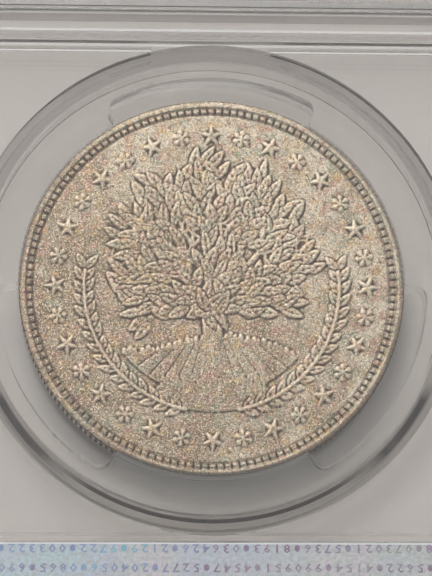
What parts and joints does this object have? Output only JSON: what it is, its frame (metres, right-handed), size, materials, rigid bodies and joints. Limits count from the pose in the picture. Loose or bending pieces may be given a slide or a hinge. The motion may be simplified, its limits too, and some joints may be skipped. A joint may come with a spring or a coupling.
{
  "type": "graded coin slab",
  "caption": "Sealed clear plastic slab that grips a large silver coin in a pronged ring over a printed label strip, with a stacking ridge round its back.",
  "frame": {"origin": "middle of the slab's plan outline, on the plane that its front lip rests on", "axes": "+Z out of the back window, +Y towards the plain end and away from the label, +X to the right when the back window faces the viewer with the plain end up"},
  "size_m": [0.0624, 0.0844, 0.008],
  "materials": {
    "clear_shell": "polished clear polystyrene",
    "weld": "slightly cloudy remelted polystyrene",
    "gasket": "clear soft plastic, smooth",
    "silver": "toned struck silver",
    "card": "printed card",
    "film": "iridescent film with fine print",
    "foil": "diffracting foil"
  },
  "bodies": {
    "holder": {"front_shell": "clear_shell", "back_shell": "clear_shell", "weld_seam": "weld", "coin_gasket": "gasket", "label_card": "card", "security_film": "film", "hologram_patch": "foil"},
    "coin": {"coin": "silver"}
  },
  "joints": [
    {"name": "coin_turn", "type": "hinge", "parent": "holder", "child": "coin", "pos_m": [0, 0.01215, 0.004], "axis": [0, 0, 1], "continuous": true}
  ]
}
